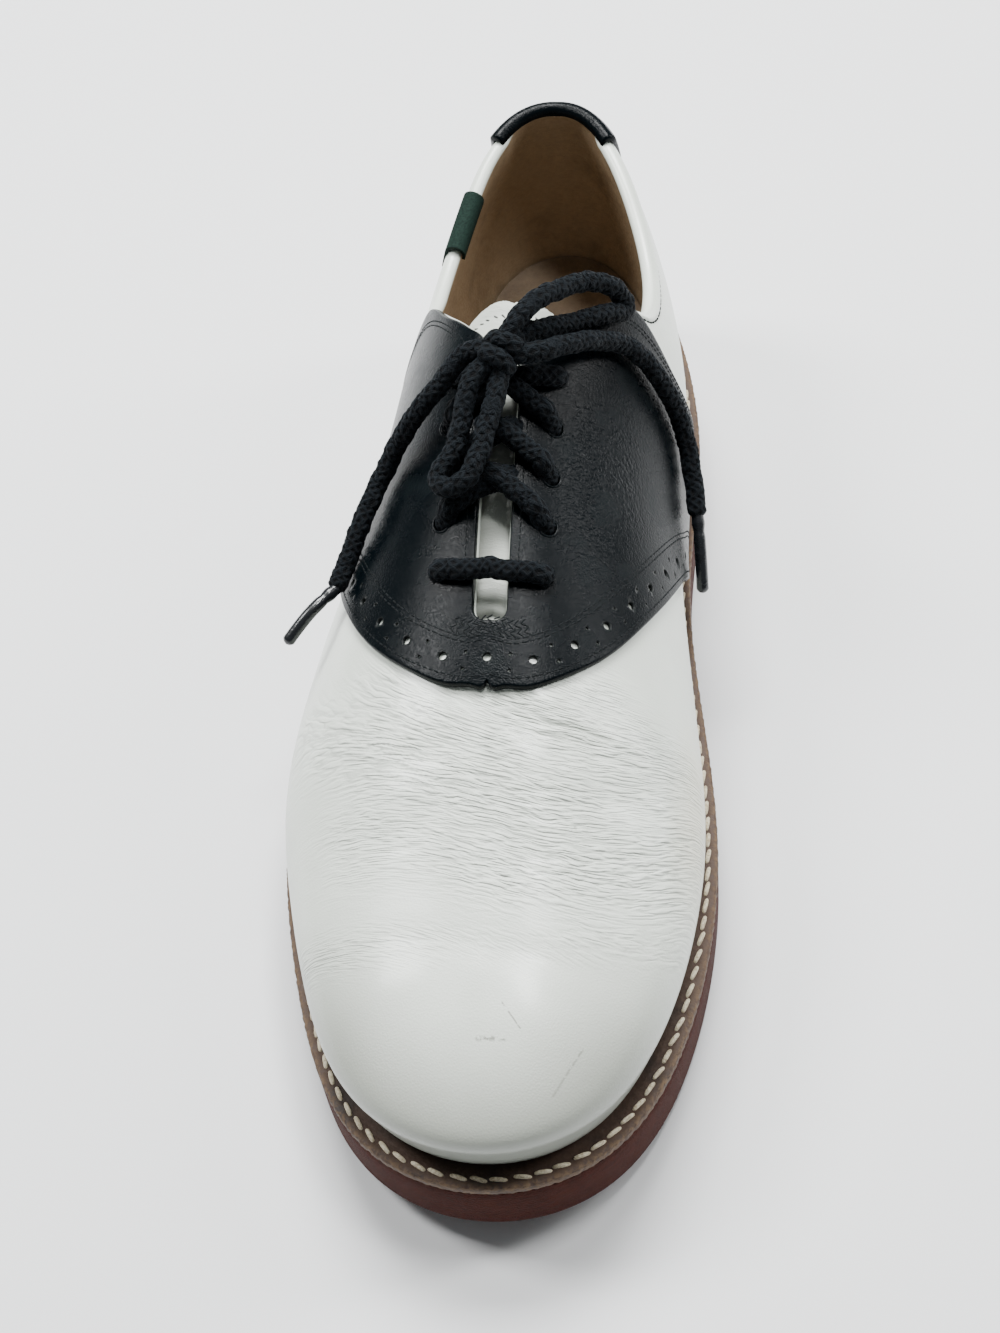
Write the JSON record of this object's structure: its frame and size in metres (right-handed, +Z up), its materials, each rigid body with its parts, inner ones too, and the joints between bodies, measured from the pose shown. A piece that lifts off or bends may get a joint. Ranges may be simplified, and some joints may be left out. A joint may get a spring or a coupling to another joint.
{
  "type": "saddle shoe",
  "caption": "White lace-up shoe for the right foot with a black saddle over the instep, on a leather welt, brick-red rubber sole and heel block.",
  "frame": {"origin": "on the floor, under the middle of the shoe's length and width", "axes": "+Z up, -Y towards the toe, +X towards the inner side of the foot"},
  "size_m": [0.1109, 0.3086, 0.1185],
  "materials": {
    "white_leather": "smooth, lightly creased",
    "black_leather": "soft gloss",
    "tongue_leather": "smooth, matt",
    "brick_rubber": "matt",
    "welt_leather": "raw edge",
    "insole_leather": "worn",
    "green_tape": "matt",
    "black_cotton": "braided",
    "lace_tip": "gloss"
  },
  "bodies": {
    "root": {"upper": "white_leather", "saddle": "black_leather", "heel_tab": "black_leather", "tongue": "tongue_leather", "outsole": "brick_rubber", "heel": "brick_rubber", "welt": "welt_leather", "insole": "insole_leather", "collar_tag": "green_tape", "lace_bar": "black_cotton", "lace_cross_1": "black_cotton", "lace_cross_2": "black_cotton", "lace_cross_3": "black_cotton", "lace_top": "black_cotton", "knot": "black_cotton", "loop_upper": "black_cotton", "loop_lower": "black_cotton", "end_outer": "black_cotton", "end_inner": "black_cotton", "tip_outer": "lace_tip", "tip_inner": "lace_tip"}
  },
  "joints": []
}
